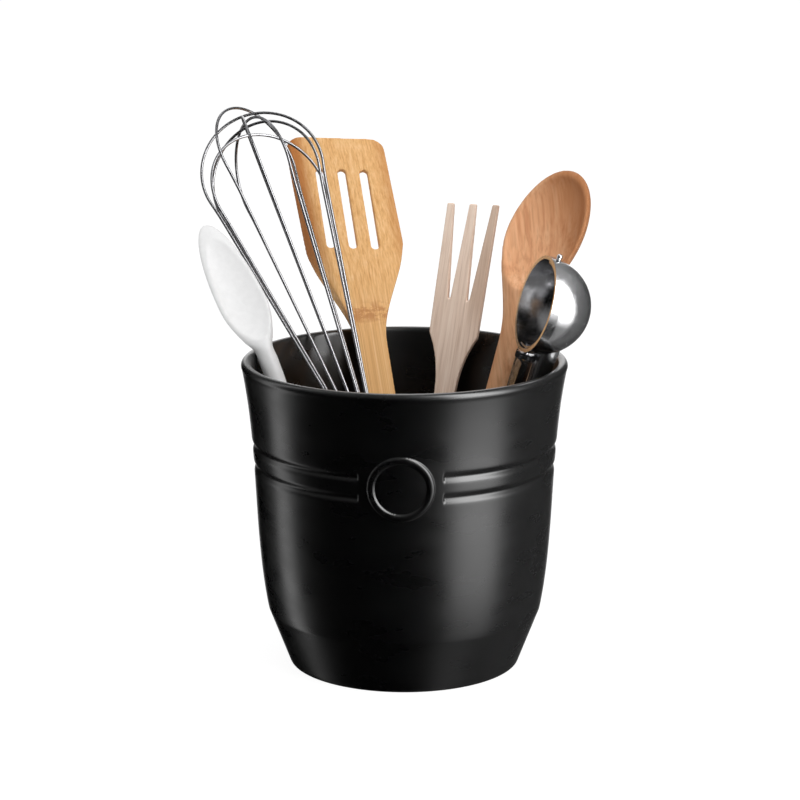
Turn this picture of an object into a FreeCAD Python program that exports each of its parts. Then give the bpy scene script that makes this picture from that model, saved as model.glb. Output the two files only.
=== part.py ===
import FreeCAD
import Part

import math
import os

from collections import namedtuple
from FreeCAD import Vector

# A stoneware crock with its set of kitchen tools standing in it.
# Millimetres, +Z up. The origin is the centre of the crock's flat foot, and its front faces -Y.

# Crock
CROCK_HEIGHT = 149.0
RIM_RADIUS = 78.0
LIP_THICKNESS = 4.9
LIP_FLARE = 20.0
NECK_RADIUS = 74.0
NECK_HEIGHT = 120.0
WALL_BOW = 0.95
BELT_RADIUS = 66.0
BELT_HEIGHT = 27.6
FOOT_RADIUS = 55.4
FOOT_ROUND = 1.6
CROCK_WALL = 5.4
CROCK_FLOOR = 8.0
FLOOR_CORNER = 7.0
GROOVE_HEIGHTS = (98.4, 108.4)
GROOVE_RADIUS = 1.5
GROOVE_DEPTH = 0.8
MEDALLION_HEIGHT = 103.4
MEDALLION_TURN = 1.4
BEAD_INNER_RADIUS = 12.4
BEAD_OUTER_RADIUS = 15.25
BEAD_PROUD = 1.1
BEAD_ROUND = 0.9
GROOVE_STOP = 19.4

# Gap between a tool and what it stands on or leans against
TOOL_GAP = 0.5

# White spoon
SPOON_W_RIM_ANGLE = 168.6
SPOON_W_FOOT = (-20.0, 11.0)
SPOON_W_TURN = 22.0
SPOON_W_ROD = 4.7
SPOON_W_CENTRE = 172.0
SPOON_W_HEAD_TOP = 40.4
SPOON_W_HEAD_TAIL = 22.0
SPOON_W_TAIL_POWER = 0.5
SPOON_W_HEAD_WIDTH = 24.2
SPOON_W_HEAD_DEPTH = 7.0
SPOON_W_FACE = 2.0
SPOON_W_HOLLOW_DEPTH = 2.6
SPOON_W_HOLLOW_TAIL = 19.0
SPOON_W_EDGE = 1.2
SPOON_W_BEND = 40.0
SPOON_W_SET_BACK = 26.5

# Balloon whisk
WHISK_RIM_ANGLE = 133.5
WHISK_FOOT = (22.9, -37.5)
WHISK_TURN = 0.0
WHISK_HANDLE_LENGTH = 118.0
WHISK_HANDLE_RADIUS = 7.6
WHISK_HANDLE_SWELL = 0.9
WHISK_HANDLE_WALL = 0.8
WHISK_BUNDLE_AT_RIM = 16.2
WIRE_RADIUS = 0.72
WIRE_CIRCLE = 5.4
WIRE_SEAT = 14.0
WIRE_BELLY_ANGLE = 13.4
WIRE_BELLY_RADIUS = 200.0
WIRE_FIT = 0.03
# For each loop: the angle of its plane, its round top's radius and its height above the handle's mouth
LOOP_TURNS = (60.8, -53.9, 7.3, -14.5, 36.8, 97.0)
LOOP_RADII = (27.7, 28.8, 30.6, 29.7, 31.0, 28.1)
LOOP_HEIGHTS = (182.0, 173.0, 177.0, 170.8, 166.4, 175.0)

# Slotted turner
TURNER_RIM_ANGLE = 105.3
TURNER_FOOT = (8.8, -22.0)
TURNER_TURN = 12.0
TURNER_SHAFT_WIDTH = 13.4
TURNER_NECK_WIDTH = 14.4
TURNER_SHAFT_THICKNESS = 7.0
TURNER_BACK_AT_RIM = 8.2
TURNER_SHAFT_LENGTH = 156.0
TURNER_SHOULDER = 58.0
TURNER_BLADE_LENGTH = 62.8
TURNER_BLADE_WIDTH = 49.4
TURNER_TIP_WIDTH = 50.5
TURNER_TIP_THICKNESS = 3.2
TURNER_CORNER = 8.0
TURNER_SET_BACK = 12.0
TURNER_TIP_SLANT = 9.0
TURNER_BEVEL = 4.6
TURNER_BEVEL_LAND = 0.4
SLOT_WIDTH = 4.2
SLOT_LENGTH = 48.0
SLOT_PITCH = 11.1
SLOT_FROM_TIP = 19.8
SLOT_LEAN = 2.2
SLOT_COUNT = 3

# Wooden fork
FORK_RIM_ANGLE = 67.7
FORK_FOOT = (3.1, 30.0)
FORK_TURN = -14.0
FORK_SHAFT_WIDTH = 10.2
FORK_SHAFT_LENGTH = 110.0
FORK_WAIST_WIDTH = 15.4
FORK_WAIST_BELOW = 11.0
FORK_THICKNESS = 5.5
FORK_TIP_THICKNESS = 3.0
FORK_BODY_WIDTH = 24.4
FORK_SHOULDER = 32.8
FORK_SHOULDER_LEAN = 28.0
FORK_BODY_LENGTH = 18.4
TINE_LENGTH = 47.6
TINE_TIP = 2.2
TINE_SPREAD = 26.0
TINE_GAP = 1.3
TINE_ROOT_SPACING = 9.7
TINE_COUNT = 3
FORK_TIP_SLANT = 5.0

# Wooden spoon
SPOON_RIM_ANGLE = 39.1
SPOON_FOOT = (14.5, 15.0)
SPOON_TURN = -38.0
SPOON_ROD = 5.6
SPOON_CENTRE = 202.5
SPOON_BOWL_TOP = 34.0
SPOON_BOWL_TAIL = 56.0
SPOON_TAIL_POWER = 1.0
SPOON_BOWL_WIDTH = 43.0
SPOON_BOWL_DEPTH = 13.0
SPOON_FACE = 2.4
SPOON_HOLLOW_DEPTH = 9.0
SPOON_HOLLOW_TAIL = 31.0
SPOON_EDGE = 1.2
SPOON_BEND = 30.0
SPOON_SET_BACK = 16.5

# Ice-cream scoop
SCOOP_RIM_ANGLE = -6.9
SCOOP_FOOT = (20.5, 1.6)
SCOOP_TURN = 14.7
SCOOP_HANDLE_RADIUS = 5.0
SCOOP_REACH = 174.4
BOWL_RADIUS = 21.7
BOWL_WALL = 1.2
BOWL_OFFSET = 10.0
COLLAR_LENGTH = 3.8
COLLAR_BACK = 0.4
COLLAR_PROUD = 0.5
NECK_TOP_RADIUS = 6.4
NECK_LENGTH = 20.0
WELD_GAP = 0.05
RUNNING_GAP = 0.06
SWEEPER_WIDTH = 6.0
SWEEPER_THICKNESS = 0.8
SWEEPER_GAP = 0.4
TOP_PIN_RADIUS = 1.1
TOP_PIN_HEAD = 1.4
AXLE_RADIUS = 1.3
PINION_TEETH = 10
PINION_PITCH_RADIUS = 4.2
PINION_WIDTH = 3.0
GEAR_RATIO = 10
TOOTH_SHARE = 0.28
TOOTH_TIP_HEIGHT = 0.75
TOOTH_ROOT_DEPTH = 1.2
TOOTH_FLANK = 22.0
SECTOR_SWEEP = 16.0
SECTOR_SPARE = 3.0
SECTOR_PLATE = 1.4
SECTOR_RIM = 3.0
LEVER_THICKNESS = 3.4
LEVER_WIDTH = 6.0
LEVER_DROP = 52.0
PIVOT_RADIUS = 1.5
PIVOT_HEAD = 2.6
CHEEK_THICKNESS = 1.5
CHEEK_HEIGHT = 11.0
SPRING_THICKNESS = 0.6
SPRING_WIDTH = 4.5
SPRING_ROOT = 14.0
SPRING_TURN_RADIUS = 1.2
SPRING_DROP = 20.0

INNER_LIP_RADIUS = RIM_RADIUS - LIP_THICKNESS
LIP_CENTRE_Z = CROCK_HEIGHT - LIP_THICKNESS / 2
UP = Vector(0, 0, 1)
SEAM_TOLERANCE = 1e-5
RING_POINTS = 16
SHAFT_RINGS = 30
TAIL_RINGS = 6
BOWL_RING_ANGLES = (0, 8, 16, 24, 32, 40, 48, 56, 64, 71, 77, 82, 86)
WHISK_LOOPS = tuple(zip(LOOP_TURNS, LOOP_RADII, LOOP_HEIGHTS))


def section(r, z):
    """A point of a profile that is turned about the Z axis."""
    return Vector(r, 0, z)


def line(a, b):
    return Part.LineSegment(a, b).toShape()


def arc(a, through, b):
    return Part.Arc(a, through, b).toShape()


def turned(edges, centre=Vector(), axis=UP):
    """The solid that a closed profile makes when it turns about an axis."""
    return Part.Face(Part.Wire(edges)).revolve(centre, axis, 360)


def cylinder(radius, base, top):
    """A round bar between two points."""
    return Part.makeCylinder(radius, (top - base).Length, base, top - base)


def box_between(low, high):
    size = high - low
    return Part.makeBox(size.x, size.y, size.z, low)


def one_solid(shape):
    """The single solid that a chain of cuts and joins leaves."""
    return shape.removeSplitter().Solids[0]


def mended(shape):
    """The single solid of a shape with stretched faces, its seams made clean."""
    solid = shape.Solids[0].copy()
    solid.fix(SEAM_TOLERANCE, SEAM_TOLERANCE, SEAM_TOLERANCE)
    return solid


def polygon(points):
    return Part.Face(Part.makePolygon(list(points) + [points[0]]))


def eased(share):
    """Goes from 0 to 1 as its input does, level at both ends."""
    share = min(max(share, 0.0), 1.0)
    return share * share * (3 - 2 * share)


# Crock


def wall_curve(outward):
    """The wall's upright curve from belt to lip, moved out from the outer face."""
    flare = math.radians(LIP_FLARE)
    side = LIP_THICKNESS / 2 + outward if outward >= 0 else -LIP_THICKNESS / 2
    lip = section(
        RIM_RADIUS - LIP_THICKNESS / 2 + side * math.cos(flare),
        LIP_CENTRE_Z - side * math.sin(flare),
    )
    middle = (BELT_HEIGHT + NECK_HEIGHT) / 2
    points = [
        section(BELT_RADIUS + outward, BELT_HEIGHT),
        section((BELT_RADIUS + NECK_RADIUS) / 2 + WALL_BOW + outward, middle),
        section(NECK_RADIUS + outward, NECK_HEIGHT),
        lip,
    ]
    curve = Part.BSplineCurve()
    curve.interpolate(points)
    return curve


def wall_radius(z):
    """The outer radius of the wall at a height between belt and lip."""
    curve = wall_curve(0)
    low, high = curve.FirstParameter, curve.LastParameter
    for _ in range(50):
        middle = (low + high) / 2
        if curve.value(middle).z < z:
            low = middle
        else:
            high = middle
    return curve.value(low).x


def crock_blank():
    outer = wall_curve(0)
    inner = wall_curve(-CROCK_WALL)
    belt = outer.StartPoint
    lip_out = outer.EndPoint
    lip_in = inner.EndPoint
    inner_belt = inner.StartPoint
    foot = section(FOOT_RADIUS, 0)
    floor_edge = section(FOOT_RADIUS - CROCK_WALL + CROCK_FLOOR / 2, CROCK_FLOOR)
    lip_top = section(RIM_RADIUS - LIP_THICKNESS / 2, CROCK_HEIGHT)
    blank = turned(
        [
            line(section(0, 0), foot),
            line(foot, belt),
            outer.toShape(),
            arc(lip_out, lip_top, lip_in),
            inner.toShape(),
            line(inner_belt, floor_edge),
            line(floor_edge, section(0, CROCK_FLOOR)),
            line(section(0, CROCK_FLOOR), section(0, 0)),
        ]
    )
    blank = blank.makeFillet(FOOT_ROUND, [ring_edge(blank, FOOT_RADIUS, 0)])
    return blank.makeFillet(FLOOR_CORNER, [ring_edge(blank, floor_edge.x, CROCK_FLOOR)])


def ring_edge(shape, radius, z):
    """The circular edge about the Z axis nearest to a radius and height."""
    rings = [e for e in shape.Edges if isinstance(e.Curve, Part.Circle)]
    return min(rings, key=lambda e: abs(e.Curve.Radius - radius) + abs(e.Curve.Center.z - z))


def medallion_bead():
    """A raised ring that follows the wall's curve, facing the front."""
    proud = wall_curve(BEAD_PROUD)
    foot = section(0, BELT_HEIGHT)
    top = section(0, proud.EndPoint.z)
    skin = turned(
        [
            line(foot, proud.StartPoint),
            proud.toShape(),
            line(proud.EndPoint, top),
            line(top, foot),
        ]
    )
    centre = Vector(0, 0, MEDALLION_HEIGHT)
    front = Vector(0, -2 * RIM_RADIUS, MEDALLION_HEIGHT)
    ring = cylinder(BEAD_OUTER_RADIUS, centre, front).cut(cylinder(BEAD_INNER_RADIUS, centre, front))
    core = Part.makeCylinder(NECK_RADIUS - CROCK_WALL / 2 - BEAD_PROUD, CROCK_HEIGHT)
    bead = one_solid(skin.common(ring).cut(core))
    crest = [e for e in bead.Edges if on_crest(e)]
    return bead.makeFillet(BEAD_ROUND, crest)


def on_crest(edge):
    """Whether an edge of the bead lies on its outer face."""
    spot = edge.valueAt((edge.FirstParameter + edge.LastParameter) / 2)
    return math.hypot(spot.x, spot.y) > wall_radius(spot.z) + BEAD_PROUD / 2


def groove(z):
    """One groove round the wall, open in front where the medallion stands."""
    radius = wall_radius(z) + GROOVE_RADIUS - GROOVE_DEPTH
    stop = math.degrees(GROOVE_STOP / wall_radius(z))
    ring = Part.makeTorus(radius, GROOVE_RADIUS, Vector(), UP, -180, 180, 360 - 2 * stop)
    ring.translate(Vector(0, 0, z))
    ring.rotate(Vector(), UP, stop - 90)
    return ring


def crock_body():
    body = crock_blank().fuse(medallion_bead())
    for z in GROOVE_HEIGHTS:
        body = body.cut(groove(z))
    body = one_solid(body)
    body.rotate(Vector(), UP, -MEDALLION_TURN)
    return body


# Standing the tools in the crock


def stand(solids, carrier, rim_angle, foot, turn, half_at):
    """Leans a tool, built upright, from its spot on the floor to its spot on the lip."""
    angle = math.radians(rim_angle)
    low = Vector(foot[0], foot[1], CROCK_FLOOR)
    outward = Vector(math.cos(angle), math.sin(angle), 0)
    radius = INNER_LIP_RADIUS
    for _ in range(8):
        rim = outward * radius + UP * LIP_CENTRE_Z
        length = (rim - low).Length
        axis = (rim - low).normalize()
        half = max(half_at(length), half_at(length + LIP_THICKNESS))
        radius = INNER_LIP_RADIUS - (half + TOOL_GAP) / math.sqrt(1 - axis.dot(outward) ** 2)
    side = Vector(0, 1, 0).cross(axis).normalize()
    rotation = FreeCAD.Rotation(side, axis.cross(side), axis, "ZXY")
    rotation = rotation.multiply(FreeCAD.Rotation(UP, turn))
    trial = solids[carrier].copy()
    trial.Placement = FreeCAD.Placement(low, rotation)
    drop = CROCK_FLOOR + TOOL_GAP - trial.optimalBoundingBox(False, False).ZMin
    place = FreeCAD.Placement(low + axis * (drop / axis.z), rotation)
    standing = {}
    for name, solid in solids.items():
        standing[name] = solid.copy()
        standing[name].Placement = place.multiply(solid.Placement)
    return standing, place


def even(half):
    """A tool's half thickness near the lip, the same at every height."""
    return lambda length: half


# Round shapes that several tools share


def ellipsoid(half_x, half_y, half_z, centre=Vector()):
    ball = Part.makeSphere(1.0)
    shape = FreeCAD.Matrix()
    shape.scale(half_x, half_y, half_z)
    ball = ball.transformGeometry(shape)
    ball.translate(centre)
    return ball


def rod(radius, length):
    """A round bar up the Z axis with a rounded butt."""
    ball = Part.makeSphere(radius, Vector(0, 0, radius))
    return ball.fuse(cylinder(radius, Vector(0, 0, radius), Vector(0, 0, length)))


def egg(half_x, half_y, top, tail, centre):
    """A solid egg on end: round above its centre and longer below it."""
    big = 4 * (top + tail)
    level = box_between(centre + Vector(-big, -big, 0), centre + Vector(big, big, big))
    upper = ellipsoid(half_x, half_y, top, centre).common(level)
    return upper.fuse(ellipsoid(half_x, half_y, tail, centre).cut(level))


# Balloon whisk


def whisk_handle_curve(inward):
    """The handle's side from butt to mouth, swelling in the middle."""
    r = WHISK_HANDLE_RADIUS - inward
    return arc(
        section(r, WHISK_HANDLE_RADIUS),
        section(r + WHISK_HANDLE_SWELL, WHISK_HANDLE_LENGTH / 2),
        section(r, WHISK_HANDLE_LENGTH),
    )


def whisk_handle():
    outer = whisk_handle_curve(0)
    inner = whisk_handle_curve(WHISK_HANDLE_WALL)
    return turned(
        [
            outer,
            line(outer.Vertexes[-1].Point, inner.Vertexes[-1].Point),
            inner,
            line(inner.Vertexes[0].Point, outer.Vertexes[0].Point),
        ]
    )


def whisk_end_cap():
    """The domed butt, with a spigot inside the tube."""
    r = WHISK_HANDLE_RADIUS
    spigot = r - WHISK_HANDLE_WALL - WIRE_FIT
    side = math.sqrt(0.5) * r
    return turned(
        [
            arc(section(0, 0), section(side, r - side), section(r, r)),
            line(section(r, r), section(spigot, r)),
            line(section(spigot, r), section(spigot, 2 * r)),
            line(section(spigot, 2 * r), section(0, 2 * r)),
            line(section(0, 2 * r), section(0, 0)),
        ]
    )


def leg_angle(belly_end, mouth):
    """The lean of a loop's straight leg, so that it runs smoothly into the belly's bend."""
    belly = math.radians(WIRE_BELLY_ANGLE)
    low, high = 0.0, belly
    for _ in range(50):
        lean = (low + high) / 2
        start = bend_start(belly_end, lean)
        if (start.x - WIRE_CIRCLE) * math.cos(lean) > (start.z - mouth) * math.sin(lean):
            low = lean
        else:
            high = lean
    return low


def bend_start(belly_end, lean):
    """Where the belly's bend leaves the straight leg."""
    belly = math.radians(WIRE_BELLY_ANGLE)
    out = WIRE_BELLY_RADIUS * (math.cos(lean) - math.cos(belly))
    rise = WIRE_BELLY_RADIUS * (math.sin(belly) - math.sin(lean))
    return belly_end - section(out, rise)


def loop_path(top, height):
    """One loop in the XZ plane: two legs that spread to a belly and a round top."""
    belly = math.radians(WIRE_BELLY_ANGLE)
    mouth = WHISK_HANDLE_LENGTH
    crown = section(0, mouth + height)
    belly_end = crown + section(top * math.cos(belly), -top * (1 + math.sin(belly)))
    lean = leg_angle(belly_end, mouth)
    start = bend_start(belly_end, lean)
    middle = bend_start(belly_end, (lean + belly) / 2)
    exit_point = section(WIRE_CIRCLE, mouth)
    seat = section(WIRE_CIRCLE, mouth - WIRE_SEAT)
    right = [line(seat, exit_point), line(exit_point, start), arc(start, middle, belly_end)]
    left = [e.mirror(Vector(), Vector(1, 0, 0)) for e in reversed(right)]
    over = arc(belly_end, crown, section(-belly_end.x, belly_end.z))
    return Part.Wire(Part.__sortEdges__(right + [over] + left))


def whisk_wire(turn, top, height):
    path = loop_path(top, height)
    seat = section(WIRE_CIRCLE, WHISK_HANDLE_LENGTH - WIRE_SEAT)
    profile = Part.Wire(Part.makeCircle(WIRE_RADIUS, seat, UP))
    wire = path.makePipeShell([profile], True, False, 2)
    wire.rotate(Vector(), UP, turn)
    return wire


def whisk_plug():
    """The bung that holds the wires' ends in the handle's mouth."""
    radius = WHISK_HANDLE_RADIUS - WHISK_HANDLE_WALL - WIRE_FIT
    top = WHISK_HANDLE_LENGTH
    plug = cylinder(radius, Vector(0, 0, top - WIRE_SEAT), Vector(0, 0, top))
    for turn in LOOP_TURNS:
        for half_turn in (0, 180):
            spot = FreeCAD.Rotation(UP, turn + half_turn).multVec(section(WIRE_CIRCLE, 0))
            low = spot + Vector(0, 0, top - WIRE_SEAT - 1)
            plug = plug.cut(cylinder(WIRE_RADIUS + WIRE_FIT, low, spot + Vector(0, 0, top + 1)))
    return plug


def whisk():
    solids = {
        "whisk_handle": whisk_handle(),
        "whisk_end_cap": whisk_end_cap(),
        "whisk_plug": whisk_plug(),
    }
    for number, loop in enumerate(WHISK_LOOPS, 1):
        solids[f"whisk_wire_{number}"] = whisk_wire(*loop)
    return solids


# Flat wooden tools, each an outline seen from the front cut by a profile seen from the side


def smooth(points, start, end):
    """A curve through points that leaves and arrives in given directions."""
    curve = Part.BSplineCurve()
    curve.interpolate(Points=points, InitialTangent=start, FinalTangent=end)
    return curve.toShape()


def closed_face(edges):
    return Part.Face(Part.Wire(Part.__sortEdges__(edges)))


def mirrored(edges):
    return edges + [e.mirror(Vector(), Vector(1, 0, 0)) for e in edges]


def through(face, along):
    """A face swept both ways along a direction."""
    solid = face.extrude(along * 2)
    solid.translate(along * -1)
    return solid


def turner_half_width(z):
    """Half the turner's width at a height above its neck."""
    wide = TURNER_SHAFT_LENGTH + TURNER_SHOULDER
    shoulder = eased((z - TURNER_SHAFT_LENGTH) / TURNER_SHOULDER)
    blade = max(z - wide, 0) / TURNER_BLADE_LENGTH
    width = TURNER_NECK_WIDTH + (TURNER_BLADE_WIDTH - TURNER_NECK_WIDTH) * shoulder
    return (width + (TURNER_TIP_WIDTH - TURNER_BLADE_WIDTH) * blade) / 2


def turner_middle(z):
    """How far back the blade's middle lies: it bends over the shoulder, then leans straight."""
    rise = max(z - TURNER_SHAFT_LENGTH, 0)
    bent = min(rise, TURNER_SHOULDER)
    return math.tan(math.radians(TURNER_SET_BACK)) * (bent**2 / (2 * TURNER_SHOULDER) + rise - bent)


def turner_half_thickness(z):
    share = max(z - TURNER_SHAFT_LENGTH, 0) / (TURNER_SHOULDER + TURNER_BLADE_LENGTH)
    return (TURNER_SHAFT_THICKNESS + (TURNER_TIP_THICKNESS - TURNER_SHAFT_THICKNESS) * share) / 2


def turner_heights(steps):
    """Heights from the neck to the shoulder's end."""
    return [TURNER_SHAFT_LENGTH + TURNER_SHOULDER * i / steps for i in range(steps + 1)]


def turner_front():
    """The turner seen from the front, with a slanting tip."""
    shaft = TURNER_SHAFT_WIDTH / 2
    shoulder = [section(turner_half_width(z), z) for z in turner_heights(8)]
    neck, wide = shoulder[0], shoulder[-1]
    tip = TURNER_TIP_WIDTH / 2
    top = wide.z + TURNER_BLADE_LENGTH
    slant = math.tan(math.radians(TURNER_TIP_SLANT))
    left_tip = section(-tip, top + tip * slant)
    right_tip = section(tip, top - tip * slant)
    edges = mirrored([line(section(shaft, 0), neck), smooth(shoulder, UP, UP)])
    edges += [
        line(wide, right_tip),
        line(right_tip, left_tip),
        line(left_tip, section(-wide.x, wide.z)),
        line(section(-shaft, 0), section(shaft, 0)),
    ]
    solid = through(closed_face(edges), Vector(0, TURNER_SHAFT_LENGTH, 0))
    corners = [crossing_edge(solid, spot) for spot in (left_tip, right_tip)]
    return solid.makeFillet(TURNER_CORNER, corners)


def crossing_edge(solid, spot):
    """The straight edge of a swept outline that crosses the XZ plane nearest to a spot."""
    return min(solid.Edges, key=lambda e: e.CenterOfMass.distanceToPoint(spot))


def turner_side():
    """The turner from the side: an even shaft, then a blade that leans back and thins to its tip."""
    top = TURNER_SHAFT_LENGTH + TURNER_SHOULDER + TURNER_BLADE_LENGTH + TURNER_TIP_WIDTH / 2
    edges = []
    ends = []
    for side in (-1, 1):
        heights = turner_heights(4) + [top]
        points = [Vector(0, turner_middle(z) + side * turner_half_thickness(z), z) for z in heights]
        butt = Vector(0, points[0].y, 0)
        straight = points[-1] - points[-2]
        edges += [line(butt, points[0]), smooth(points[:-1], UP, straight), line(points[-2], points[-1])]
        ends += [butt, points[-1]]
    edges += [line(ends[0], ends[2]), line(ends[1], ends[3])]
    return through(closed_face(edges), Vector(TURNER_BLADE_WIDTH, 0, 0))


def turner_bevel():
    """What is planed off the blade's left side: nothing at the neck, and thinning out to the tip."""
    heights = turner_heights(8)
    top = heights[-1] + TURNER_BLADE_LENGTH + TURNER_TIP_WIDTH / 2
    heights += [(heights[-1] + top) / 2, top]
    backs = []
    fronts = []
    for z in heights:
        half = turner_half_thickness(z)
        share = eased((z - TURNER_SHAFT_LENGTH) / TURNER_SHOULDER) * 2 * half / TURNER_SHAFT_THICKNESS
        slope = Vector(TURNER_BEVEL * share, -2 * half, 0)
        edge = Vector(-turner_half_width(z) - TURNER_BEVEL_LAND, turner_middle(z) + half, z)
        backs.append(edge - slope)
        fronts.append(edge + slope * 2)
    skin = Part.makeRuledSurface(spline(backs), spline(fronts))
    return skin.extrude(Vector(-TURNER_BLADE_WIDTH, 0, 0))


def spline(points):
    curve = Part.BSplineCurve()
    curve.interpolate(points)
    return curve.toShape()


def turner():
    blank = turner_front().common(turner_side()).cut(turner_bevel())
    top = TURNER_SHAFT_LENGTH + TURNER_SHOULDER + TURNER_BLADE_LENGTH - SLOT_FROM_TIP
    slant = math.tan(math.radians(TURNER_TIP_SLANT))
    for i in range(SLOT_COUNT):
        x = (i - (SLOT_COUNT - 1) / 2) * SLOT_PITCH
        blank = blank.cut(turner_slot(x, top - x * slant))
    return one_solid(blank)


def turner_slot(x, top):
    half = SLOT_WIDTH / 2
    reach = TURNER_SHAFT_LENGTH
    low = Vector(x, 0, top - SLOT_LENGTH + half)
    high = Vector(x, 0, top - half)
    side = Vector(half, reach, 0)
    cutter = box_between(low - side, high + side)
    depth = Vector(0, reach, 0)
    for end in (low, high):
        cutter = cutter.fuse(cylinder(half, end - depth, end + depth))
    cutter.rotate((low + high) / 2, Vector(0, 1, 0), SLOT_LEAN)
    return cutter


def fork_front():
    shaft = FORK_SHAFT_WIDTH / 2
    neck = section(shaft, FORK_SHAFT_LENGTH)
    wide = section(FORK_BODY_WIDTH / 2, FORK_SHAFT_LENGTH + FORK_SHOULDER)
    waist = section(FORK_WAIST_WIDTH / 2, wide.z - FORK_WAIST_BELOW)
    lean = math.radians(FORK_SHOULDER_LEAN)
    tip = TINE_SPREAD / 2
    top = wide.z + FORK_BODY_LENGTH + TINE_LENGTH
    slant = math.tan(math.radians(FORK_TIP_SLANT))
    left_tip = section(-tip, top - tip * slant)
    right_tip = section(tip, top + tip * slant)
    shoulder = smooth([neck, waist, wide], UP, section(math.sin(lean), math.cos(lean)))
    edges = mirrored([line(section(shaft, 0), neck), shoulder])
    edges += [
        line(wide, right_tip),
        line(right_tip, left_tip),
        line(left_tip, section(-wide.x, wide.z)),
        line(section(-shaft, 0), section(shaft, 0)),
    ]
    return through(closed_face(edges), Vector(0, FORK_BODY_WIDTH, 0))


def fork_gap(index):
    """The wedge of air between two tines, round at its root."""
    root_z = FORK_SHAFT_LENGTH + FORK_SHOULDER + FORK_BODY_LENGTH
    top = root_z + TINE_LENGTH + TINE_SPREAD / 2
    tip_step = (TINE_SPREAD - TINE_TIP) / (TINE_COUNT - 1)
    place = index + 1 - TINE_COUNT / 2
    tip_x = place * tip_step
    root_x = place * TINE_ROOT_SPACING
    mouth = (tip_step - TINE_TIP) / 2
    half = TINE_GAP / 2
    reach = FORK_BODY_WIDTH
    wedge = polygon(
        [
            Vector(root_x - half, -reach, root_z),
            Vector(root_x + half, -reach, root_z),
            Vector(tip_x + mouth, -reach, top),
            Vector(tip_x - mouth, -reach, top),
        ]
    ).extrude(Vector(0, 2 * reach, 0))
    return wedge.fuse(cylinder(half, Vector(root_x, -reach, root_z), Vector(root_x, reach, root_z)))


def fork():
    half = FORK_THICKNESS / 2
    tip_half = FORK_TIP_THICKNESS / 2
    body_top = FORK_SHAFT_LENGTH + FORK_SHOULDER + FORK_BODY_LENGTH
    top = body_top + TINE_LENGTH + TINE_SPREAD / 2
    side = polygon(
        [
            Vector(0, -half, 0),
            Vector(0, -half, body_top),
            Vector(0, -tip_half, top),
            Vector(0, tip_half, top),
            Vector(0, half, body_top),
            Vector(0, half, 0),
        ]
    )
    blank = fork_front().common(through(side, Vector(FORK_BODY_WIDTH, 0, 0)))
    for index in range(TINE_COUNT - 1):
        blank = blank.cut(fork_gap(index))
    return one_solid(blank)


# Spoons, each one skin through level rings with a hollow in its face

SPOON_SIZES = "rod centre top tail power width depth face hollow_depth hollow_tail edge bend set_back"
Spoon = namedtuple("Spoon", SPOON_SIZES)
WHITE_SPOON = Spoon(
    SPOON_W_ROD,
    SPOON_W_CENTRE,
    SPOON_W_HEAD_TOP,
    SPOON_W_HEAD_TAIL,
    SPOON_W_TAIL_POWER,
    SPOON_W_HEAD_WIDTH,
    SPOON_W_HEAD_DEPTH,
    SPOON_W_FACE,
    SPOON_W_HOLLOW_DEPTH,
    SPOON_W_HOLLOW_TAIL,
    SPOON_W_EDGE,
    SPOON_W_BEND,
    SPOON_W_SET_BACK,
)
WOODEN_SPOON = Spoon(
    SPOON_ROD,
    SPOON_CENTRE,
    SPOON_BOWL_TOP,
    SPOON_BOWL_TAIL,
    SPOON_TAIL_POWER,
    SPOON_BOWL_WIDTH,
    SPOON_BOWL_DEPTH,
    SPOON_FACE,
    SPOON_HOLLOW_DEPTH,
    SPOON_HOLLOW_TAIL,
    SPOON_EDGE,
    SPOON_BEND,
    SPOON_SET_BACK,
)


def ring(half_x, front, back, middle, z):
    """A level closed curve, flatter in front than behind."""
    points = []
    for i in range(RING_POINTS):
        turn = 2 * math.pi * i / RING_POINTS
        depth = back if math.sin(turn) > 0 else front
        points.append(Vector(half_x * math.cos(turn), middle + depth * math.sin(turn), z))
    curve = Part.BSplineCurve()
    curve.interpolate(Points=points, PeriodicFlag=True)
    return Part.Wire(curve.toShape())


def spoon_middle(spoon, z):
    """How far back the spoon's middle lies: it bends back below the bowl's centre."""
    rise = max(z - spoon.centre + spoon.bend, 0)
    bent = min(rise, spoon.bend)
    return math.tan(math.radians(spoon.set_back)) * (bent**2 / (2 * spoon.bend) + rise - bent)


def spoon_sizes(spoon, z):
    """Half width, front depth and back depth of a spoon at a height."""
    full = (spoon.width / 2, spoon.face, spoon.depth)
    if z < spoon.rod:
        butt = math.sqrt(spoon.rod**2 - (spoon.rod - z) ** 2)
        return (butt, butt, butt)
    if z < spoon.centre:
        share = eased((z - spoon.centre + spoon.tail) / spoon.tail) ** spoon.power
        return tuple(spoon.rod + (size - spoon.rod) * share for size in full)
    share = math.sqrt(max(1 - ((z - spoon.centre) / spoon.top) ** 2, 0))
    return tuple(size * share for size in full)


def spoon_half(spoon):
    """A spoon's half width as it goes up."""
    return lambda length: spoon_sizes(spoon, length)[0]


def spoon_heights(spoon):
    """Heights of the rings that a spoon's skin runs through, from butt to tip."""
    neck = spoon.centre - spoon.tail
    butt = [spoon.rod * (1 - math.cos(math.radians(t))) for t in (10, 30, 60)]
    shaft = [spoon.rod + (neck - spoon.rod) * i / SHAFT_RINGS for i in range(SHAFT_RINGS)]
    tail = [neck + spoon.tail * i / TAIL_RINGS for i in range(TAIL_RINGS)]
    bowl = [spoon.centre + spoon.top * math.sin(math.radians(t)) for t in BOWL_RING_ANGLES]
    return butt + shaft + tail + bowl


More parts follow.
